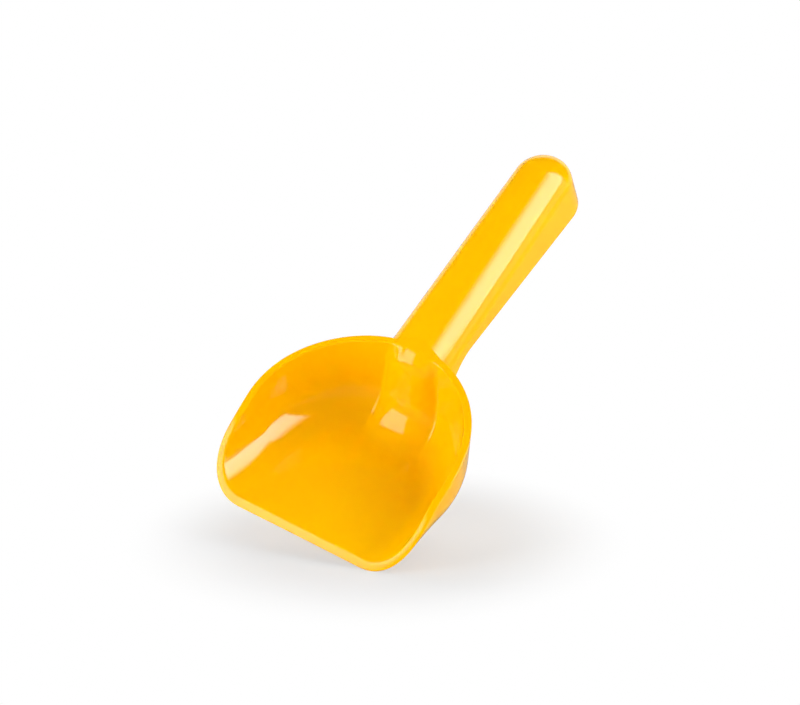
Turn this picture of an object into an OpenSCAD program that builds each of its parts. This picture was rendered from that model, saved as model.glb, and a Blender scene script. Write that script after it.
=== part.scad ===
// Toddler's sand shovel, one thin-walled moulding: a scoop with a straight lip and a round back,
// a nose inside the scoop where the grip runs into it, and a grip shaped as an upturned channel.
// Millimetres. The origin is on the underside, below the centre of the round back.
// The lip points along -Y, the grip along +Y and up.

/* [Scoop] */
// Outside width of the scoop, at the height of the back rim
scoop_w = 97.5; // [84:0.5:112]
// Length of the scoop from lip to back rim
scoop_l = 82.5; // [74:0.5:92]
// Length of the sides in front of the round back
side_l = 32; // [26:1:36]
// Height of the rim at the back
back_h = 39.5; // [36:0.5:44]
// Thickness of every wall
wall = 3; // [2.4:0.1:3.4]
// Outside radius where the floor turns up into the walls
foot_r = 20; // [16:0.5:22]
// Lean of the walls away from upright, in degrees
draft = 3.8; // [2:0.1:6]
// How far each side spreads outward at the lip
flare = 2.4; // [0:0.1:4]
// Steepness of the rim where it leaves the lip, in degrees
lip_rise = 51.5; // [46:0.5:58]
// Steepness of the rim at the back, in degrees
back_rise = 15; // [5:1:20]
// Rounding of the rim's edges
rim_r = 0.8; // [0.5:0.1:1.1]

/* [Nose] */
// How far the nose stands out from the back wall
nose_out = 5.8; // [4.5:0.1:7.5]
// Width of the nose at the rim, before its top rounds it off
nose_top_w = 22.5; // [20:0.5:25]
// Width of the nose at the floor
nose_foot_w = 27.5; // [24:0.5:31]
// Height over which the nose's top domes back to the rim
nose_dome = 11.5; // [8:0.5:15]
// How far down the nose the grip's arch bends into it
nose_bend = 6; // [3:0.5:7]

/* [Grip] */
// Length of the grip from the back rim to the centre of its round end
grip_l = 93.8; // [80:0.2:110]
// Width of the grip at the scoop
root_w = 28.8; // [26:0.2:31]
// Width of the grip at its end
end_w = 25.2; // [23:0.2:28]
// Height of the grip's arched top
arch_h = 9.4; // [8.5:0.1:10.5]
// Height at which the arch springs from the side walls, at the scoop
root_h = 31.9; // [31:0.1:33]
// Rise of the grip, in degrees
grip_rise = 20.7; // [18:0.1:23]
// Depth of the side walls below the arch at the scoop, before the web
root_d = 1.7; // [1:0.1:4]
// Depth of the side walls below the arch at the end
end_d = 16.8; // [12:0.1:19]
// Height of the web that carries the grip's edge down the back of the scoop
web_h = 6.5; // [5:0.5:11]
// Length of the web along the grip
web_l = 16.5; // [12:0.5:28]

/* [Hidden] */

// Length of the round back from the origin
back_l = scoop_l - side_l;
// Distance from the wall's top edge in to the centre of the foot radius
foot_in = (back_h - foot_r) * tan(draft) + foot_r / cos(draft);
// Angle through which the foot turns from the floor up into the wall, in degrees
foot_turn = 90 - draft;
// Share of the flat floor that is one plain face
flat_share = 0.93;
// Bisections that place a point on the rim
rim_steps = 22;
// Steps along the inside and the outside of the scoop's wall
in_steps = 14;
out_steps = 12;
// Steps round the rim's inner edge and over the nose
bend_steps = 6;
// Angles of the half outline, from the middle of the back to the middle of the lip
half_turn = concat([for (a = [0:2:28]) a], [for (a = [32:4:112]) a],
    [for (a = [114:2:142]) a], [for (a = [149:7.75:180]) a]);
full_turn = concat(half_turn, [for (i = [len(half_turn) - 2:-1:1]) 360 - half_turn[i]]);
// Smallest rounding of an edge, where two regions run into each other
least_r = 0.05;
// Power of the curve across the nose and over its dome: 2 is an ellipse, more is fuller
nose_full = 2.5;
// Width over which the rim's inner edge is rounded into the nose
nose_edge_w = 16;
// Depth of the nose at the floor, as a share of its depth higher up
foot_push = 1.1;
// How softly the nose runs out into the wall, as a share of its depth, low down and at the rim
soft_low = 0.22;
soft_high = 0.35;
// Height below the grip's arch over which the hollow behind the nose runs out
hollow_fade = 8;
// Height above the rim at which the nose's dome starts
dome_over = 1.2;
dome_from = back_h + dome_over - nose_dome;

// Shared helpers
function clamp(v) = min(1, max(0, v));
function ease(v) = let (c = clamp(v)) c * c * (3 - 2 * c);
function mix(p, q, t) = p + (q - p) * t;
function bend(p, q, r, t) = mix(mix(p, q, t), mix(q, r, t), t);
function unit(v) = v / max(norm(v), 0.0001);

// Height of the rim over the length of the scoop
function rim_h(y) =
    let (t = (y + side_l) / scoop_l)
    (pow(t, 3) - 2 * t * t + t) * scoop_l * tan(lip_rise)
    + (3 * t * t - 2 * pow(t, 3)) * back_h
    + (pow(t, 3) - t * t) * scoop_l * tan(back_rise);

// Half width of the grip and depth of its lower edge at u along it
function grip_half(u) = mix(root_w, end_w, clamp(u / grip_l)) / 2;
function grip_depth(u) = mix(root_d, end_d, clamp(u / grip_l)) + web_h * pow(1 - clamp(u / web_l), 2);

// Height of the grip's arch above the floor, where it crosses the back of the scoop
function arch_over(x, y, t) =
    let (half = root_w / 2 - t, k = 1 - pow(x / half, 2))
    k <= 0 ? 0 : root_h + (y - back_l) * tan(grip_rise) + (arch_h - t) / cos(grip_rise) * sqrt(k);

// Top of the wall: the rim inside, and outside also the grip's arch where it stands over the rim
function top_h(x, y, t) = max(rim_h(y), t == 0 && y > 0 ? arch_over(x, y, 0) : 0);

// Inset of the wall at height z from its top edge; t is 0 outside and the wall's thickness inside
function inset(z, t) =
    let (r = foot_r - t)
    z < foot_r - r * sin(draft)
        ? foot_in - sqrt(max(0, r * r - pow(foot_r - z, 2)))
        : (back_h - z) * tan(draft) + t / cos(draft);

// Distance from the origin's axis to the wall at height z, along a ray at angle a from the back
function reach(a, z, t) =
    let (w = scoop_w / 2 - inset(z, t), l = back_l - inset(z, t))
    let (s = sin(a), c = cos(a), k = flare / pow(side_l, 2))
    c >= 0 ? 1 / sqrt(pow(s / w, 2) + pow(c / l, 2))
           : 2 * w / (abs(s) + sqrt(max(0, s * s - 4 * k * w * c * c)));

// Length over the foot radius and up the wall, and the height reached after that length
function climb(z, t) =
    let (r = foot_r - t, tangent = foot_r - r * sin(draft))
    z < tangent ? r * acos(max(-1, 1 - (z - t) / r)) * PI / 180
                : r * foot_turn * PI / 180 + (z - tangent) / cos(draft);
function height_at(l, t) =
    let (r = foot_r - t, arc = r * foot_turn * PI / 180)
    l < arc ? t + r * (1 - cos(l / r * 180 / PI))
            : foot_r - r * sin(draft) + (l - arc) * cos(draft);

// Height at which a ray meets the rim, found by halving
function meet(a, t, low, high, n) =
    let (mid = (low + high) / 2, d = reach(a, mid, t))
    n == 0 ? mid
           : mid < top_h(d * sin(a), d * cos(a), t) ? meet(a, t, mid, high, n - 1) : meet(a, t, low, mid, n - 1);

// Distance from the lip at which the rim's slope is t high
function lip_back(t, low, high, n) =
    let (mid = (low + high) / 2)
    n == 0 ? mid : rim_h(mid - side_l) < t ? lip_back(t, mid, high, n - 1) : lip_back(t, low, mid, n - 1);
lip_in = lip_back(wall, 0, side_l, rim_steps);

// Distance along a ray to the lip, and a distance beyond the shovel for rays that don't cross it
beyond = 10 * scoop_l;
function to_lip(a, t) = cos(a) < -0.1 ? (side_l - (t > 0 ? lip_in : 0)) / -cos(a) : beyond;

// The nose: half its width, and the share of its full depth at a point of the back wall
function nose_half(z) = mix(nose_foot_w, nose_top_w, clamp((z - wall) / (back_h - wall))) / 2;
function nose_soft(z) = mix(soft_low, soft_high, ease((z - foot_r) / (back_h - foot_r)));
function rounded(h, soft) = h >= soft ? h : pow(max(0, h + soft), 2) / (4 * soft);
function swell(x, z, narrow) =
    let (side = abs(x) / (nose_half(z) - narrow), high = max(0, z - dome_from) / nose_dome)
    rounded(1 - pow(side, nose_full) - pow(high, nose_full), nose_soft(z));

// How far the nose pushes the inside and the outside of the wall inward
function nose_push(z) = nose_out * mix(foot_push, 1, ease((z - wall) / foot_r));
function push_in(x, z) = nose_push(z) * swell(x, z, 0);
function push_out(x, z) =
    let (z_in = z + wall)
    nose_push(z_in) * swell(x, z_in, wall) * ease((arch_over(x, back_l, wall) - z) / hollow_fade);
function pushed(p, t) =
    p[1] <= 0 ? p : p - [0, t > 0 ? push_in(p[0], p[2]) : push_out(p[0], p[2]), 0];

// Point on the scoop's inside or outside, l along the ray at angle a, before the nose
function flat_end(a, t) = min(reach(a, t, t), to_lip(a, t));
function plain_point(a, l, t) =
    let (start = flat_share * flat_end(a, t), flat = flat_end(a, t) - start)
    let (z = l < flat ? t : height_at(l - flat, t))
    let (d = l < flat ? start + l : min(reach(a, z, t), to_lip(a, t)))
    [d * sin(a), d * cos(a), z];
function ray_length(a, t) =
    (1 - flat_share) * flat_end(a, t)
    + (reach(a, t, t) >= to_lip(a, t) ? 0 : climb(meet(a, t, t, 2 * back_h, rim_steps), t));

// 1 over the middle of the nose, where the grip's arch bends down into it, and 0 at the plain rim
function nose_share(x) = ease((nose_edge_w / 2 - abs(x)) / nose_bend);

// Where the line from low along upward meets the line of the grip's arch, which runs down from top
function arch_meets(low, upward, top) =
    let (slope = tan(grip_rise), gap = top[2] - (top[1] - low[1]) * slope - low[2])
    low + upward * (gap / (upward[2] - upward[1] * slope));

// Rounding of the wall's outer edge, which the grip's arch does away with
function edge_out(x) = mix(rim_r, least_r, ease((root_w / 2 - wall - abs(x)) / wall));

// One section of the scoop's wall: up the inside, over the rim and down the outside
function wall_section(a) =
    let (l_in = ray_length(a, wall), l_out = ray_length(a, 0))
    let (top_in = plain_point(a, l_in, wall), top_out = plain_point(a, l_out, 0))
    let (back = cos(a) > 0)
    let (share = back ? nose_share(top_in[0]) : 0)
    let (r_in = mix(rim_r, nose_bend, share), r_out = back ? edge_out(top_out[0]) : rim_r)
    let (rim_corner = pushed(top_in, wall), across = unit(top_out - rim_corner))
    let (low_in = pushed(plain_point(a, l_in - r_in, wall), wall))
    let (low_out = plain_point(a, l_out - r_out, 0))
    let (upward = unit(low_in - pushed(plain_point(a, l_in - r_in - rim_r, wall), wall)))
    let (corner_in = share > 0 ? mix(rim_corner, arch_meets(low_in, upward, top_out), share) : rim_corner)
    let (face_out = top_out - across * r_out, face_in = mix(rim_corner + across * rim_r, face_out, share))
    concat(
        [for (i = [0:in_steps - 1]) pushed(plain_point(a, (l_in - r_in) * i / in_steps, wall), wall)],
        [for (i = [0:bend_steps]) bend(low_in, corner_in, face_in, i / bend_steps)],
        [for (t = [0:0.5:1]) bend(face_out, top_out, low_out, t)],
        [for (i = [out_steps - 1:-1:0]) pushed(plain_point(a, (l_out - r_out) * i / out_steps, 0), 0)]);

// Closed skin over rings of points: sides in triangles, and a plain face over the first and the last ring
module skin(rings) {
    n = len(rings);
    m = len(rings[0]);
    sides = [for (j = [0:m - 2], i = [0:n - 1])
        let (k = (i + 1) % n)
        each [[i * m + j, i * m + j + 1, k * m + j], [k * m + j, i * m + j + 1, k * m + j + 1]]];
    caps = [[for (i = [0:n - 1]) i * m], [for (i = [n - 1:-1:0]) i * m + m - 1]];
    polyhedron(points = [for (ring = rings) each ring], faces = concat(sides, caps), convexity = 6);
}

module scoop() {
    color("gold")
        skin([for (a = full_turn) wall_section(a)]);
}

// Point of the grip: x across, u along and v square to it
function grip_point(x, u, v) =
    [x, back_l + u * cos(grip_rise) - v * sin(grip_rise), root_h + u * sin(grip_rise) + v * cos(grip_rise)];

// Back of the scoop at a point's own width and height
function back_of_scoop(p) =
    let (w = scoop_w / 2 - inset(p[2], 0), l = back_l - inset(p[2], 0))
    l * sqrt(max(0, 1 - pow(p[0] / w, 2)));

// Half section of the grip: from the middle of the arch down to the edge, and t in from the outside
arch_steps = 9;
side_steps = 4;
function half_section(u, t) =
    let (half = grip_half(u) - t, low = -grip_depth(u))
    concat(
        [for (i = [0:arch_steps]) [half * sin(90 * i / arch_steps), (arch_h - t) * cos(90 * i / arch_steps)]],
        [for (i = [1:side_steps]) [half, low * i / side_steps]]);

// Where a line along the grip lands on the back of the scoop
function land(x, v, u, n) =
    n == 0 ? u
           : land(x, v, (back_of_scoop(grip_point(x, u, v)) + v * sin(grip_rise) - back_l) / cos(grip_rise), n - 1);

// One side of the grip's outline, outside or inside, from the scoop round to the middle of the end
grip_steps = 12;
turn_steps = 9;
function grip_rows(t) =
    let (count = arch_steps + side_steps)
    [for (k = [0:count])
        let (start = half_section(0, t)[k], u0 = land(start[0], start[1], 0, 8))
        concat(
            [for (i = [0:grip_steps])
                let (u = mix(u0, grip_l, i / grip_steps), q = half_section(u, t)[k])
                grip_point(q[0], u, q[1])],
            [for (i = [1:turn_steps])
                let (q = half_section(grip_l, t)[k], a = 90 * i / turn_steps)
                grip_point(q[0] * cos(a), grip_l + q[0] * sin(a), q[1])])];

module grip() {
    color("gold")
        grip_shell();
}

module grip_shell() {
    outside = grip_rows(0);
    inside = grip_rows(wall);
    rows = len(outside);
    columns = len(outside[0]);
    // Right half first, then its mirror image
    half = concat([for (r = outside) each r], [for (r = inside) each r]);
    n = len(half);
    points = concat(half, [for (p = half) [-p[0], p[1], p[2]]]);
    // Points on the middle plane belong to both halves, and the end's top is one point
    function same(side, row, col, inner) =
        let (c = row == 0 ? min(col, grip_steps) : col)
        let (i = (inner * rows + row) * columns + c)
        row == 0 || c == columns - 1 ? i : side * n + i;
    function quad(a, b, c, d) = [for (f = [[a, b, c], [a, c, d]])
        if (f[0] != f[1] && f[1] != f[2] && f[2] != f[0]) f];
    function turned(f, side) = side == 0 ? f : [f[2], f[1], f[0]];
    faces = [for (side = [0, 1]) each concat(
        // Outer and inner skins
        [for (r = [0:rows - 2], c = [0:columns - 2])
            each [for (f = quad(same(side, r, c, 0), same(side, r, c + 1, 0),
                same(side, r + 1, c + 1, 0), same(side, r + 1, c, 0))) turned(f, side)]],
        [for (r = [0:rows - 2], c = [0:columns - 2])
            each [for (f = quad(same(side, r, c, 1), same(side, r + 1, c, 1),
                same(side, r + 1, c + 1, 1), same(side, r, c + 1, 1))) turned(f, side)]],
        // Lower edge
        [for (c = [0:columns - 2])
            each [for (f = quad(same(side, rows - 1, c, 0), same(side, rows - 1, c + 1, 0),
                same(side, rows - 1, c + 1, 1), same(side, rows - 1, c, 1))) turned(f, side)]],
        // Face against the scoop
        [for (r = [0:rows - 2])
            each [for (f = quad(same(side, r, 0, 0), same(side, r + 1, 0, 0),
                same(side, r + 1, 0, 1), same(side, r, 0, 1))) turned(f, side)]])];
    polyhedron(points = points, faces = faces, convexity = 6);
}

scoop();
grip();
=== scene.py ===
"""Yellow sand shovel: the smooth shell of the moulding, its glossy plastic, and the studio around it."""
import math

import bmesh
import bpy
from mathutils import Matrix, Vector


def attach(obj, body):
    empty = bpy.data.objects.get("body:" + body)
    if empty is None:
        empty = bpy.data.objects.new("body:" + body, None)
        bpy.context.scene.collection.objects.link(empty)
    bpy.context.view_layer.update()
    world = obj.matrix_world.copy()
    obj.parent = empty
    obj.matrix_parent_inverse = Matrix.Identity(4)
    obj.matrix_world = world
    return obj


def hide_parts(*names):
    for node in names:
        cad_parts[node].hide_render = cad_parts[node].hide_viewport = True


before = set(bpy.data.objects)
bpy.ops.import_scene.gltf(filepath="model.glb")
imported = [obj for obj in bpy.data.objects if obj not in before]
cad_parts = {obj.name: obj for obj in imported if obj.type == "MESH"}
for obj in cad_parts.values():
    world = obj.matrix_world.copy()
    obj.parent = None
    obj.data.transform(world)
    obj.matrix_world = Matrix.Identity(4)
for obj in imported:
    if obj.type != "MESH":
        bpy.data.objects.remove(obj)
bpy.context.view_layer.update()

MM = 0.001

# Scoop, in millimetres, as the part's source has it
SCOOP_W = 97.5
SCOOP_L = 82.5
SIDE_L = 32.0
BACK_H = 39.5
WALL = 3.0
FOOT_R = 20.0
DRAFT = math.radians(3.8)
FLARE = 2.4
LIP_RISE = math.radians(51.5)
BACK_RISE = math.radians(15.0)
RIM_R = 0.8
# Distance from the origin to the back of the rim
BACK_L = SCOOP_L - SIDE_L
# Distance from the wall's top edge in to the centre of the foot radius
FOOT_IN = (BACK_H - FOOT_R) * math.tan(DRAFT) + FOOT_R / math.cos(DRAFT)
# Angle through which the foot turns from the floor up into the wall
FOOT_TURN = math.pi / 2 - DRAFT
# Share of the flat floor that is one plain face
FLAT_SHARE = 0.93
# Smallest rounding of an edge, where two regions run into each other
LEAST_R = 0.05
# Rays whose cosine is below this run towards the lip, and for the others it is out of reach
LIP_FROM = -0.1
NO_LIP = 10 * SCOOP_L

# Nose
NOSE_OUT = 5.8
NOSE_TOP_W = 22.5
NOSE_FOOT_W = 27.5
NOSE_DOME = 11.5
NOSE_BEND = 6.0
# Power of the curve across the nose and over its dome: 2 is an ellipse, more is fuller
NOSE_FULL = 2.5
# Width over which the rim's inner edge is rounded into the nose
NOSE_EDGE_W = 16.0
# Height above the rim at which the nose's dome starts
DOME_OVER = 1.2
DOME_FROM = BACK_H + DOME_OVER - NOSE_DOME
# Depth of the nose at the floor, as a share of its depth higher up
FOOT_PUSH = 1.1
# How softly the nose runs out into the wall, as a share of its depth, low down and at the rim
SOFT_LOW = 0.22
SOFT_HIGH = 0.35
# Height below the grip's arch over which the hollow behind the nose runs out
HOLLOW_FADE = 8.0

# Grip
GRIP_L = 93.8
ROOT_W = 28.8
END_W = 25.2
ARCH_H = 9.4
ROOT_H = 31.9
GRIP_RISE = math.radians(20.7)
ROOT_D = 1.7
END_D = 16.8
WEB_H = 6.5
WEB_L = 16.5
# Rounding of the grip's lower edge
GRIP_EDGE_R = 0.6

# How finely the shell is drawn: halvings that find a point on the rim, and steps along each stretch
HALVINGS = 30
IN_STEPS = 46
ROUND_STEPS = 8
OUT_STEPS = 34
ARCH_STEPS = 32
SIDE_STEPS = 8
GRIP_STEPS = 60
TURN_STEPS = 32
# Rounds that settle a line of the grip on the back of the scoop
START_ROUNDS = 12
# Edges of the scoop that are rounded less than this are shaded as crisp ones
SHARP_ROUNDING = 0.3
# Points closer together than the first are one, and edges shorter than the second go, in metres
MERGE = 1e-7
LEAST_EDGE = 1e-8

# Plastic: its two yellows, and the values of the cloud noise at which each is reached
YELLOW_DEEP = (0.87, 0.43, 0.0, 1)
YELLOW_LIGHT = (0.89, 0.455, 0.0, 1)
CLOUD_START = 0.3
CLOUD_END = 0.75
# Its gloss, and the light that spreads inside it: how much, how far by colour, and over what length
REFRACTION = 1.5
GLOSS = 0.32
SPREAD = 0.12
SPREAD_COLOURS = (1.0, 0.5, 0.05)
SPREAD_DEPTH = 0.002
# Values of the scuff noise at which the plastic is smoothest and roughest, and its roughness there
SCUFF_FAINT = 0.35
SCUFF_STRONG = 0.8
SMOOTH = 0.05
ROUGH = 0.1
# Clouds of colour, scuffs and flow marks: about this many to the metre
CLOUDS = 28.0
SCUFFS = 420.0
FLOWS = 60.0
# Bumps of the flow marks and of the grain: their strength, and their height in metres
FLOW_BUMP = 0.12
FLOW_HEIGHT = 0.0004
GRAIN_BUMP = 0.06
GRAIN_HEIGHT = 0.00005
# Dulled edge of the lip: where the wear ends, in metres, and how much roughness it adds
WEAR_END = -0.026
LIP_WEAR = 0.15

# Camera, measured on the photograph: VIEW points from the shovel towards it
VIEW = Vector((0.43288, -0.61822, 0.65606))
RIGHT = Vector((0.81915, 0.57358, 0.0))
UP = Vector((-0.37630, 0.53741, 0.75471))
CAMERA_AT = Vector((0.4605, -0.6206, 0.7432))
# Its focal length and its sensor's width in millimetres, and how far it sees in metres
LENS = 122.4
SENSOR = 36.0
CLIP = 20.0

# The floor falls away behind the shovel, which is shown tipped forward on its lip
FLOOR_UP = Vector((-0.2515, 0.3591, 0.8988))
FLOOR_HALF = 2.0
# Share of the lamps' light that the floor throws back on the shovel
FLOOR_GREY = 0.8
# Shadow on the floor: its middle, and how far from there it starts and ends to fade to white
SHADOW_AT = Vector((0.0155, -0.001, -0.0165))
FADE_START = 0.045
FADE_END = 0.102
# Its depth: the grey that shows it, the light added there, and the share of that light
# which is left where the shovel stands close over the floor, within CONTACT_REACH
SHADOW_GREY = 0.24
SHADOW_LIFT = 0.565
CONTACT_SHARE = 0.93
CONTACT_REACH = 0.08
# The plastic mirrors a floor of level MIRROR_FRONT, which rises to MIRROR_BACK between these distances
# from the origin along PALE_SIDE
PALE_SIDE = Vector((0.3, 0.95, 0.0))
PALE_START = 0.0
PALE_END = 0.05
MIRROR_FRONT = 0.15
MIRROR_BACK = 0.38

# Reflections see white below the first height and a dark room above the second, both as sines
# of the elevation; DARK_LEVEL is the room's level, and FILL the even light on the shovel
BRIGHT_BELOW = 0.0
DARK_ABOVE = 0.12
DARK_LEVEL = 0.03
FILL = 0.1
# The lamps face this point from this distance
LAMP_AIM = Vector((0.0, 0.03, 0.02))
LAMP_AWAY = 0.9


def clamp(v):
    """v held between 0 and 1."""
    return min(1.0, max(0.0, v))


def ease(v):
    """Smooth step from 0 to 1."""
    c = clamp(v)
    return c * c * (3 - 2 * c)


def mix(p, q, t):
    """Number or point at the share t of the way from p to q."""
    return p + (q - p) * t


def bend(p, q, r, t):
    """Point on the curve that leaves p towards q and arrives at r."""
    return mix(mix(p, q, t), mix(q, r, t), t)


def rim_h(y):
    """Height of the rim over the length of the scoop."""
    t = (y + SIDE_L) / SCOOP_L
    return (
        (t**3 - 2 * t * t + t) * SCOOP_L * math.tan(LIP_RISE)
        + (3 * t * t - 2 * t**3) * BACK_H
        + (t**3 - t * t) * SCOOP_L * math.tan(BACK_RISE)
    )


def arch_over(x, y, t):
    """Height of the grip's arch above the floor, where it crosses the back of the scoop."""
    k = 1 - (x / (ROOT_W / 2 - t)) ** 2
    if k <= 0:
        return 0.0
    spring = ROOT_H + (y - BACK_L) * math.tan(GRIP_RISE)
    return spring + (ARCH_H - t) / math.cos(GRIP_RISE) * math.sqrt(k)


def top_h(x, y, t):
    """Top of the wall: the rim inside, and outside also the grip's arch where it stands over the rim."""
    return max(rim_h(y), arch_over(x, y, 0) if t == 0 and y > 0 else 0)


def inset(z, t):
    """Inset of the wall at height z from its top edge; t is 0 outside and the wall's thickness inside."""
    r = FOOT_R - t
    if z < FOOT_R - r * math.sin(DRAFT):
        return FOOT_IN - math.sqrt(max(0.0, r * r - (FOOT_R - z) ** 2))
    return (BACK_H - z) * math.tan(DRAFT) + t / math.cos(DRAFT)


def reach(a, z, t):
    """Distance from the origin's axis to the wall at height z, along a ray at angle a from the back."""
    w = SCOOP_W / 2 - inset(z, t)
    long = BACK_L - inset(z, t)
    s, c, k = math.sin(a), math.cos(a), FLARE / SIDE_L**2
    if c >= 0:
        return 1 / math.sqrt((s / w) ** 2 + (c / long) ** 2)
    return 2 * w / (abs(s) + math.sqrt(max(0.0, s * s - 4 * k * w * c * c)))


def climb(z, t):
    """Length over the foot radius and up the wall to height z."""
    r = FOOT_R - t
    tangent = FOOT_R - r * math.sin(DRAFT)
    if z < tangent:
        return r * math.acos(max(-1.0, 1 - (z - t) / r))
    return r * FOOT_TURN + (z - tangent) / math.cos(DRAFT)


def height_at(length, t):
    """Height after this length over the foot radius and up the wall, the reverse of climb."""
    r = FOOT_R - t
    if length < r * FOOT_TURN:
        return t + r * (1 - math.cos(length / r))
    return FOOT_R - r * math.sin(DRAFT) + (length - r * FOOT_TURN) * math.cos(DRAFT)


def meet(a, t):
    """Height at which a ray meets the rim."""
    low, high = t, 2 * BACK_H
    for _ in range(HALVINGS):
        mid = (low + high) / 2
        d = reach(a, mid, t)
        if mid < top_h(d * math.sin(a), d * math.cos(a), t):
            low = mid
        else:
            high = mid
    return (low + high) / 2


def lip_back(t):
    """Distance from the lip at which the rim is t high."""
    low, high = 0.0, SIDE_L
    for _ in range(HALVINGS):
        mid = (low + high) / 2
        if rim_h(mid - SIDE_L) < t:
            low = mid
        else:
            high = mid
    return (low + high) / 2


LIP_IN = lip_back(WALL)


def to_lip(a, t):
    """Distance to the lip's straight edge along a ray, inside or outside."""
    if math.cos(a) < LIP_FROM:
        return (SIDE_L - (LIP_IN if t > 0 else 0)) / -math.cos(a)
    return NO_LIP


def nose_half(z):
    """Half the width of the nose at height z."""
    return mix(NOSE_FOOT_W, NOSE_TOP_W, clamp((z - WALL) / (BACK_H - WALL))) / 2


def swell(x, z, narrow, soft):
    """Share of the nose's full depth: 1 along its middle, and 0 beyond its flanks and over its top."""
    high = max(0.0, z - DOME_FROM) / NOSE_DOME
    h = 1 - (abs(x) / (nose_half(z) - narrow)) ** NOSE_FULL - high**NOSE_FULL
    if h >= soft:
        return h
    return max(0.0, h + soft) ** 2 / (4 * soft)


def foot_soft(z):
    """How softly the nose runs out into the wall at height z."""
    return mix(SOFT_LOW, SOFT_HIGH, ease((z - FOOT_R) / (BACK_H - FOOT_R)))


def nose_push(z):
    """Full depth of the nose at height z."""
    return NOSE_OUT * mix(FOOT_PUSH, 1.0, ease((z - WALL) / FOOT_R))


def push_in(x, z):
    """How far the nose pushes the inside of the wall."""
    return nose_push(z) * swell(x, z, 0, foot_soft(z))


def push_out(x, z):
    """How far the hollow behind the nose draws in the outside of the wall."""
    z_in = z + WALL
    across = swell(x, z_in, WALL, foot_soft(z_in))
    return nose_push(z_in) * across * ease((arch_over(x, BACK_L, WALL) - z) / HOLLOW_FADE)


def pushed(p, t):
    """A point of the wall's inside or outside, moved by the nose."""
    if p.y <= 0:
        return p
    return p - Vector((0, push_in(p.x, p.z) if t > 0 else push_out(p.x, p.z), 0))


def flat_end(a, t):
    """Length of the flat floor along a ray."""
    return min(reach(a, t, t), to_lip(a, t))


def plain_point(a, length, t):
    """Point on the scoop's inside or outside, before the nose pushes it."""
    start = FLAT_SHARE * flat_end(a, t)
    flat = flat_end(a, t) - start
    if length < flat:
        z, d = t, start + length
    else:
        z = height_at(length - flat, t)
        d = min(reach(a, z, t), to_lip(a, t))
    return Vector((d * math.sin(a), d * math.cos(a), z))


def ray_length(a, t):
    """Length of a section's inside or outside, from the floor's one plain face to the top edge."""
    rise = 0.0 if reach(a, t, t) >= to_lip(a, t) else climb(meet(a, t), t)
    return (1 - FLAT_SHARE) * flat_end(a, t) + rise


def nose_share(x):
    """1 over the middle of the nose, where the grip's arch bends down into it, and 0 at the plain rim."""
    return ease((NOSE_EDGE_W / 2 - abs(x)) / NOSE_BEND)


def arch_meets(low, upward, top):
    """Where the line from low along upward meets the line of the grip's arch, which runs down from top."""
    slope = math.tan(GRIP_RISE)
    gap = top.z - (top.y - low.y) * slope - low.z
    return low + upward * (gap / (upward.z - upward.y * slope))


def edge_out(x):
    """Rounding of the rim's outer edge, which is crisp where the grip joins it."""
    return mix(RIM_R, LEAST_R, ease((ROOT_W / 2 - WALL - abs(x)) / WALL))


def wall_section(a):
    """One section of the wall: up the inside, over the rim and down the outside."""
    l_in, l_out = ray_length(a, WALL), ray_length(a, 0)
    top_in, top_out = plain_point(a, l_in, WALL), plain_point(a, l_out, 0)
    back = math.cos(a) > 0
    share = nose_share(top_in.x) if back else 0
    r_in = mix(RIM_R, NOSE_BEND, share)
    r_out = edge_out(top_out.x) if back else RIM_R
    rim_corner = pushed(top_in, WALL)
    across = (top_out - rim_corner).normalized()
    low_in = pushed(plain_point(a, l_in - r_in, WALL), WALL)
    low_out = plain_point(a, l_out - r_out, 0)
    upward = (low_in - pushed(plain_point(a, l_in - r_in - RIM_R, WALL), WALL)).normalized()
    corner_in = mix(rim_corner, arch_meets(low_in, upward, top_out), share) if share > 0 else rim_corner
    face_out = top_out - across * r_out
    face_in = mix(rim_corner + across * RIM_R, face_out, share)
    inside = [
        pushed(plain_point(a, (l_in - r_in) * i / IN_STEPS, WALL), WALL) for i in range(IN_STEPS)
    ]
    inner_edge = [bend(low_in, corner_in, face_in, i / ROUND_STEPS) for i in range(ROUND_STEPS + 1)]
    outer_edge = [bend(face_out, top_out, low_out, i / ROUND_STEPS) for i in range(ROUND_STEPS + 1)]
    outside = [
        pushed(plain_point(a, (l_out - r_out) * i / OUT_STEPS, 0), 0)
        for i in range(OUT_STEPS - 1, -1, -1)
    ]
    return inside + inner_edge + outer_edge + outside


def scoop_angles():
    """Angles of the sections, closest together at the nose and at the lip's corners."""
    # Start, end and step of each span, in degrees round from the back
    spans = [(0, 24, 0.5), (24, 112, 1.6), (112, 146, 0.8), (146, 180, 2.0)]
    half = []
    for start, end, step in spans:
        count = round((end - start) / step)
        half += [start + (end - start) * i / count for i in range(count)]
    half.append(180.0)
    return [math.radians(a) for a in half + [360 - a for a in reversed(half[1:-1])]]


def mesh_piece(name, points, faces, sharp):
    """A smooth mesh object from points in millimetres; sharp says which edges stay crisp."""
    mesh = bpy.data.meshes.new(name)
    mesh.from_pydata([p * MM for p in points], [], faces)
    work = bmesh.new()
    work.from_mesh(mesh)
    for edge in work.edges:
        if sharp(edge.verts[0].index) and sharp(edge.verts[1].index):
            edge.smooth = False
    bmesh.ops.remove_doubles(work, verts=work.verts[:], dist=MERGE)
    bmesh.ops.dissolve_degenerate(work, edges=work.edges[:], dist=LEAST_EDGE)
    bmesh.ops.recalc_face_normals(work, faces=work.faces[:])
    for face in work.faces:
        face.smooth = True
    work.to_mesh(mesh)
    work.free()
    piece = bpy.data.objects.new(name, mesh)
    bpy.context.scene.collection.objects.link(piece)
    return piece


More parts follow.
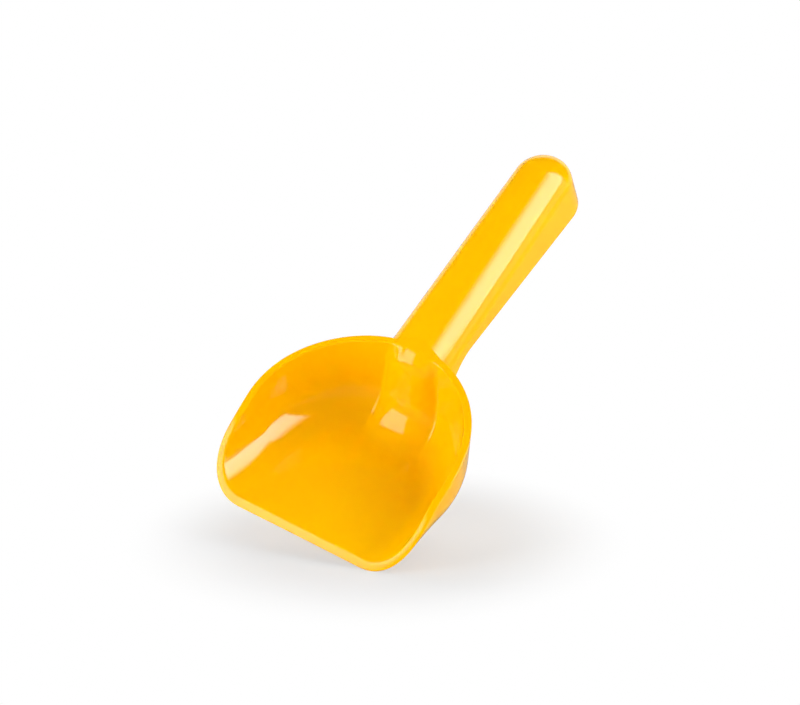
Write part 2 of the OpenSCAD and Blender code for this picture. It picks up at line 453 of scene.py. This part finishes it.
def scoop_piece():
    """The scoop as one closed shell: a ring of sections, and a flat face inside and below."""
    angles = scoop_angles()
    rings = [wall_section(a) for a in angles]
    count, size = len(rings), len(rings[0])
    faces = []
    for i in range(count):
        k = (i + 1) % count
        for j in range(size - 1):
            faces.append((i * size + j, i * size + j + 1, k * size + j + 1, k * size + j))
    faces.append([i * size for i in range(count)])
    faces.append([i * size + size - 1 for i in reversed(range(count))])
    first_outer = IN_STEPS + ROUND_STEPS + 1

    def sharp(index):
        ring, j = divmod(index, size)
        top_out = rings[ring][first_outer]
        seam = math.cos(angles[ring]) > 0 and edge_out(top_out.x) < SHARP_ROUNDING
        return seam and first_outer <= j <= first_outer + ROUND_STEPS

    return mesh_piece("scoop_shell", [p for ring in rings for p in ring], faces, sharp)


def grip_point(x, u, v):
    """Point of the grip in the part's frame, from across it, along it and square to it."""
    s, c = math.sin(GRIP_RISE), math.cos(GRIP_RISE)
    return Vector((x, BACK_L + u * c - v * s, ROOT_H + u * s + v * c))


def back_of_scoop(p):
    """Where the outside of the scoop's back lies along Y, at the height and the side of p."""
    w = SCOOP_W / 2 - inset(p.z, 0)
    return (BACK_L - inset(p.z, 0)) * math.sqrt(max(0.0, 1 - (p.x / w) ** 2))


def grip_section(u):
    """Half section of the grip as (across, square to it): over the outside, round the edge, back inside."""
    half = mix(ROOT_W, END_W, clamp(u / GRIP_L)) / 2
    low = -mix(ROOT_D, END_D, clamp(u / GRIP_L)) - WEB_H * (1 - clamp(u / WEB_L)) ** 2
    r = GRIP_EDGE_R
    quarter = math.pi / 2
    path = []
    for i in range(ARCH_STEPS + 1):
        a = quarter * i / ARCH_STEPS
        path.append((half * math.sin(a), ARCH_H * math.cos(a)))
    for i in range(1, SIDE_STEPS + 1):
        path.append((half, (low + r) * i / SIDE_STEPS))
    for centre, start in ((half - r, 0), (half - WALL + r, quarter)):
        for i in range(1, ROUND_STEPS + 1):
            a = start + quarter * i / ROUND_STEPS
            path.append((centre + r * math.cos(a), low + r - r * math.sin(a)))
    for i in range(1, SIDE_STEPS + 1):
        path.append((half - WALL, (low + r) * (1 - i / SIDE_STEPS)))
    for i in range(ARCH_STEPS - 1, -1, -1):
        a = quarter * i / ARCH_STEPS
        path.append(((half - WALL) * math.sin(a), (ARCH_H - WALL) * math.cos(a)))
    return path


def grip_start(x, v):
    """Distance along the grip at which a line meets the back of the scoop."""
    u = 0.0
    for _ in range(START_ROUNDS):
        y = back_of_scoop(grip_point(x, u, v))
        u = (y + v * math.sin(GRIP_RISE) - BACK_L) / math.cos(GRIP_RISE)
    return u


def grip_piece():
    """The grip as a closed channel from the back of the scoop to its half-round end."""
    starts = [grip_start(x, v) for x, v in grip_section(0)]
    rows = len(starts)
    columns = []
    for i in range(GRIP_STEPS + 1):
        column = []
        for k in range(rows):
            u = mix(starts[k], GRIP_L, i / GRIP_STEPS)
            x, v = grip_section(u)[k]
            column.append(grip_point(x, u, v))
        columns.append(column)
    end = grip_section(GRIP_L)
    for i in range(1, TURN_STEPS + 1):
        a = math.pi / 2 * i / TURN_STEPS
        columns.append([grip_point(x * math.cos(a), GRIP_L + x * math.sin(a), v) for x, v in end])
    points = [p for column in columns for p in column]
    shift = len(points)
    points += [Vector((-p.x, p.y, p.z)) for p in points]
    faces = []
    for c in range(len(columns) - 1):
        for k in range(rows - 1):
            quad = (c * rows + k, c * rows + k + 1, (c + 1) * rows + k + 1, (c + 1) * rows + k)
            faces.append(quad)
            faces.append(tuple(shift + i for i in reversed(quad)))
    # Face against the scoop, as a strip between the outside and the inside of the channel
    for k in range(rows // 2):
        strip = (k, rows - 1 - k, rows - 2 - k, k + 1)
        if len(set(strip)) == 4:
            faces.append(strip)
            faces.append(tuple(shift + i for i in reversed(strip)))

    def sharp(index):
        return index % shift < rows

    return mesh_piece("grip_shell", points, faces, sharp)


def link(tree, start, end):
    """Joins an output of a node to an input of another."""
    tree.links.new(start, end)


def add_node(tree, kind, **values):
    """A shader node with plain values on its inputs, given by socket name."""
    node = tree.nodes.new(kind)
    for key, value in values.items():
        node.inputs[key.replace("_", " ")].default_value = value
    return node


def add_math(tree, operation, *inputs):
    """A math node's result, from outputs of other nodes."""
    node = tree.nodes.new("ShaderNodeMath")
    node.operation = operation
    for start, end in zip(inputs, node.inputs):
        link(tree, start, end)
    return node.outputs[0]


def blend(tree, share, first, second):
    """Two shaders mixed: a share of 0 gives the first and 1 the second."""
    node = tree.nodes.new("ShaderNodeMixShader")
    for start, end in zip((share, first, second), node.inputs):
        link(tree, start, end)
    return node.outputs[0]


def grey(level):
    """Colour of this level, which is white at 1."""
    return (level, level, level, 1)


def plastic():
    """Glossy through-coloured plastic: faint flow marks, fine grain and a lip dulled by sand."""
    material = bpy.data.materials.new("yellow_plastic")
    material.use_nodes = True
    tree = material.node_tree
    shader = tree.nodes["Principled BSDF"]
    shader.inputs["IOR"].default_value = REFRACTION
    shader.inputs["Specular IOR Level"].default_value = GLOSS
    shader.inputs["Subsurface Weight"].default_value = SPREAD
    shader.inputs["Subsurface Radius"].default_value = SPREAD_COLOURS
    shader.inputs["Subsurface Scale"].default_value = SPREAD_DEPTH
    place = tree.nodes.new("ShaderNodeTexCoord").outputs["Object"]

    cloud = add_node(tree, "ShaderNodeTexNoise", Scale=CLOUDS, Detail=3.0)
    colours = tree.nodes.new("ShaderNodeValToRGB")
    ends = colours.color_ramp.elements
    ends[0].position = CLOUD_START
    ends[0].color = YELLOW_DEEP
    ends[1].position = CLOUD_END
    ends[1].color = YELLOW_LIGHT
    link(tree, place, cloud.inputs["Vector"])
    link(tree, cloud.outputs["Fac"], colours.inputs["Fac"])
    link(tree, colours.outputs["Color"], shader.inputs["Base Color"])

    scuff = add_node(tree, "ShaderNodeTexNoise", Scale=SCUFFS, Detail=6.0)
    rough = add_node(
        tree, "ShaderNodeMapRange",
        From_Min=SCUFF_FAINT, From_Max=SCUFF_STRONG, To_Min=SMOOTH, To_Max=ROUGH,
    )
    split = tree.nodes.new("ShaderNodeSeparateXYZ")
    lip = add_node(tree, "ShaderNodeMapRange", From_Min=WEAR_END, From_Max=-SIDE_L * MM, To_Max=LIP_WEAR)
    link(tree, place, scuff.inputs["Vector"])
    link(tree, scuff.outputs["Fac"], rough.inputs["Value"])
    link(tree, place, split.inputs[0])
    link(tree, split.outputs["Y"], lip.inputs["Value"])
    worn = add_math(
        tree, "MULTIPLY_ADD", lip.outputs["Result"], scuff.outputs["Fac"], rough.outputs["Result"]
    )
    link(tree, worn, shader.inputs["Roughness"])

    flow = add_node(tree, "ShaderNodeTexNoise", Scale=FLOWS, Detail=1.0)
    flow_bump = add_node(tree, "ShaderNodeBump", Strength=FLOW_BUMP, Distance=FLOW_HEIGHT)
    grain_bump = add_node(tree, "ShaderNodeBump", Strength=GRAIN_BUMP, Distance=GRAIN_HEIGHT)
    link(tree, place, flow.inputs["Vector"])
    link(tree, flow.outputs["Fac"], flow_bump.inputs["Height"])
    link(tree, flow_bump.outputs["Normal"], grain_bump.inputs["Normal"])
    link(tree, scuff.outputs["Fac"], grain_bump.inputs["Height"])
    link(tree, grain_bump.outputs["Normal"], shader.inputs["Normal"])
    return material


def camera():
    """Camera of the photograph."""
    data = bpy.data.cameras.new("camera")
    data.sensor_fit = "HORIZONTAL"
    data.sensor_width = SENSOR
    data.lens = LENS
    data.clip_end = CLIP
    thing = bpy.data.objects.new("camera", data)
    turn = Matrix((RIGHT, UP, VIEW)).transposed().to_4x4()
    thing.matrix_world = Matrix.Translation(CAMERA_AT) @ turn
    bpy.context.scene.collection.objects.link(thing)
    bpy.context.scene.camera = thing


def softbox(name, azimuth, elevation, width, height, power, roll=0.0):
    """Rectangular lamp that faces the shovel, in degrees, metres and watts.

    Azimuth 0 is the lip's side and 90 the right side.
    """
    a, e = math.radians(azimuth), math.radians(elevation)
    out = Vector((math.sin(a) * math.cos(e), -math.cos(a) * math.cos(e), math.sin(e)))
    data = bpy.data.lights.new(name, "AREA")
    data.shape = "RECTANGLE"
    data.size, data.size_y = width, height
    data.energy = power
    lamp = bpy.data.objects.new(name, data)
    turn = out.to_track_quat("Z", "Y").to_matrix().to_4x4() @ Matrix.Rotation(math.radians(roll), 4, "Z")
    lamp.matrix_world = Matrix.Translation(LAMP_AIM + out * LAMP_AWAY) @ turn
    bpy.context.scene.collection.objects.link(lamp)
    return lamp


def feather(data, sides, bottom, top):
    """Lets a lamp's brightness fall off softly over these shares of its width and its height."""
    data.use_nodes = True
    tree = data.node_tree
    place = tree.nodes.new("ShaderNodeNewGeometry")
    split = tree.nodes.new("ShaderNodeSeparateXYZ")
    link(tree, place.outputs["Parametric"], split.inputs[0])
    level = None
    for axis, edge, inside in ((0, 0, sides), (0, 1, 1 - sides), (1, 0, bottom), (1, 1, 1 - top)):
        rise = add_node(tree, "ShaderNodeMapRange", From_Min=edge, From_Max=inside)
        rise.interpolation_type = "SMOOTHSTEP"
        link(tree, split.outputs[axis], rise.inputs["Value"])
        step = rise.outputs["Result"]
        level = add_math(tree, "MULTIPLY", level, step) if level else step
    link(tree, level, tree.nodes["Emission"].inputs["Strength"])


def shining(lamp, sides, bottom, top, only=None):
    """Lets the plastic, or one piece of it only, mirror a lamp that doesn't light it."""
    feather(lamp.data, sides, bottom, top)
    lamp.visible_diffuse = False
    if only:
        lit = bpy.data.collections.new(lamp.name)
        lit.objects.link(only)
        lamp.light_linking.receiver_collection = lit


def lighting(lamp):
    """Lets a lamp light the plastic and not be mirrored in it."""
    lamp.visible_glossy = False
    # Otherwise a lamp that is only mirrored would hide this one where it stands in front
    lamp.data.cycles.use_multiple_importance_sampling = False


def studio_world():
    """White for the camera, a studio that darkens upward in reflections, and an even fill light."""
    world = bpy.data.worlds.new("studio")
    world.use_nodes = True
    bpy.context.scene.world = world
    tree = world.node_tree
    tree.nodes.clear()
    path = tree.nodes.new("ShaderNodeLightPath").outputs
    place = tree.nodes.new("ShaderNodeTexCoord")
    split = tree.nodes.new("ShaderNodeSeparateXYZ")
    height = add_node(
        tree, "ShaderNodeMapRange",
        From_Min=BRIGHT_BELOW, From_Max=DARK_ABOVE, To_Min=1.0, To_Max=DARK_LEVEL,
    )
    height.interpolation_type = "SMOOTHSTEP"
    fill = add_node(tree, "ShaderNodeBackground", Color=grey(1), Strength=FILL)
    white = add_node(tree, "ShaderNodeBackground", Color=grey(1), Strength=1.0)
    room = add_node(tree, "ShaderNodeBackground", Color=grey(1))
    link(tree, place.outputs["Generated"], split.inputs[0])
    link(tree, split.outputs["Z"], height.inputs["Value"])
    link(tree, height.outputs["Result"], room.inputs["Strength"])
    unseen = blend(tree, path["Is Glossy Ray"], fill.outputs[0], room.outputs[0])
    through = add_math(tree, "MAXIMUM", path["Is Camera Ray"], path["Is Transmission Ray"])
    out = tree.nodes.new("ShaderNodeOutputWorld")
    link(tree, blend(tree, through, unseen, white.outputs[0]), out.inputs[0])


def shadow_shader(tree, place):
    """The floor as the camera sees it: white, with a soft shadow near the shovel."""
    shadow = add_node(tree, "ShaderNodeBsdfDiffuse", Color=grey(SHADOW_GREY))
    near = add_node(tree, "ShaderNodeAmbientOcclusion", Distance=CONTACT_REACH)
    depth = add_node(tree, "ShaderNodeMapRange", To_Min=SHADOW_LIFT * CONTACT_SHARE, To_Max=SHADOW_LIFT)
    lift = add_node(tree, "ShaderNodeEmission", Color=grey(1))
    lifted = tree.nodes.new("ShaderNodeAddShader")
    white = add_node(tree, "ShaderNodeEmission", Color=grey(1), Strength=1.0)
    away = tree.nodes.new("ShaderNodeVectorMath")
    away.operation = "DISTANCE"
    away.inputs[1].default_value = SHADOW_AT
    far = add_node(tree, "ShaderNodeMapRange", From_Min=FADE_START, From_Max=FADE_END)
    far.interpolation_type = "SMOOTHSTEP"
    link(tree, near.outputs["AO"], depth.inputs["Value"])
    link(tree, depth.outputs["Result"], lift.inputs["Strength"])
    link(tree, shadow.outputs[0], lifted.inputs[0])
    link(tree, lift.outputs[0], lifted.inputs[1])
    link(tree, place, away.inputs[0])
    link(tree, away.outputs["Value"], far.inputs["Value"])
    return blend(tree, far.outputs["Result"], lifted.outputs[0], white.outputs[0])


def mirrored_shader(tree, place):
    """The floor as the plastic mirrors it: even in front, and paler at the back."""
    beyond = tree.nodes.new("ShaderNodeVectorMath")
    beyond.operation = "DOT_PRODUCT"
    beyond.inputs[1].default_value = PALE_SIDE
    pale = add_node(
        tree, "ShaderNodeMapRange",
        From_Min=PALE_START, From_Max=PALE_END, To_Min=MIRROR_FRONT, To_Max=MIRROR_BACK,
    )
    mirrored = add_node(tree, "ShaderNodeEmission", Color=grey(1))
    link(tree, place, beyond.inputs[0])
    link(tree, beyond.outputs["Value"], pale.inputs["Value"])
    link(tree, pale.outputs["Result"], mirrored.inputs["Strength"])
    return mirrored.outputs[0]


def floor_material():
    """Floor that is white with a soft shadow to the camera, darker in the plastic, and unseen from below."""
    material = bpy.data.materials.new("floor")
    material.use_nodes = True
    tree = material.node_tree
    tree.nodes.clear()
    path = tree.nodes.new("ShaderNodeLightPath").outputs
    place = tree.nodes.new("ShaderNodeTexCoord").outputs["Object"]
    below = tree.nodes.new("ShaderNodeNewGeometry").outputs["Backfacing"]
    plain = add_node(tree, "ShaderNodeBsdfDiffuse", Color=grey(FLOOR_GREY))
    clear = tree.nodes.new("ShaderNodeBsdfTransparent")
    unseen = blend(tree, path["Is Glossy Ray"], plain.outputs[0], mirrored_shader(tree, place))
    above = blend(tree, path["Is Camera Ray"], unseen, shadow_shader(tree, place))
    hidden = add_math(tree, "MULTIPLY", path["Is Camera Ray"], below)
    out = tree.nodes.new("ShaderNodeOutputMaterial")
    link(tree, blend(tree, hidden, above, clear.outputs[0]), out.inputs[0])
    return material


def floor(pieces):
    """Plane square to FLOOR_UP that touches the lowest point of the pieces in that direction."""
    low = min(FLOOR_UP.dot(v.co) for piece in pieces for v in piece.data.vertices)
    side = FLOOR_UP.cross(Vector((0, 1, 0))).normalized() * FLOOR_HALF
    away = FLOOR_UP.cross(side).normalized() * FLOOR_HALF
    centre = FLOOR_UP * (low / FLOOR_UP.length_squared)
    corners = [centre - side - away, centre + side - away, centre + side + away, centre - side + away]
    mesh = bpy.data.meshes.new("floor")
    mesh.from_pydata(corners, [], [(0, 1, 2, 3)])
    plane = bpy.data.objects.new("floor", mesh)
    if mesh.polygons[0].normal.dot(FLOOR_UP) < 0:
        mesh.flip_normals()
    mesh.materials.append(floor_material())
    bpy.context.scene.collection.objects.link(plane)


camera()
shell = plastic()
scoop = scoop_piece()
grip = grip_piece()
for piece, node in ((scoop, "scoop"), (grip, "grip")):
    piece.data.materials.append(shell)
    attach(piece, "root")
    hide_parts(node)
floor([scoop, grip])
studio_world()

# Lamps that the plastic mirrors: the band on the grip, the streak in the scoop, and the fainter ones
shining(softbox("key_shine", 122, 59, 0.62, 0.96, 20), 0.2, 0.12, 0.35, only=grip)
shining(softbox("streak_shine", 116, 40.5, 0.6, 0.68, 13.8), 0.1, 0.1, 0.4, only=scoop)
shining(softbox("side_shine", -38, 23, 0.5, 1.0, 7.8, roll=18), 0.12, 0.12, 0.12)
shining(softbox("low_shine", 122, 18, 0.7, 0.7, 2.2), 0.3, 0.4, 0.3)
shining(softbox("back_shine", -160, 10, 0.9, 0.3, 1.2), 0.3, 0.3, 0.3)

# Lamps that light the plastic
lighting(softbox("left", -38, 23, 0.46, 0.95, 9.5))
lighting(softbox("right", 95, 18, 0.5, 0.5, 3.3))
lighting(softbox("front", 10, 25, 0.5, 0.5, 2.3))
lighting(softbox("key", 118, 42, 0.4, 0.45, 2.6))
lighting(softbox("back", 165, 42, 0.8, 0.6, 3.0))
lighting(softbox("low", 130, 4, 0.6, 0.3, 2.8))
lighting(softbox("edge", -125, 16, 0.6, 0.5, 4.0))
bpy.context.scene.view_settings.view_transform = "Standard"
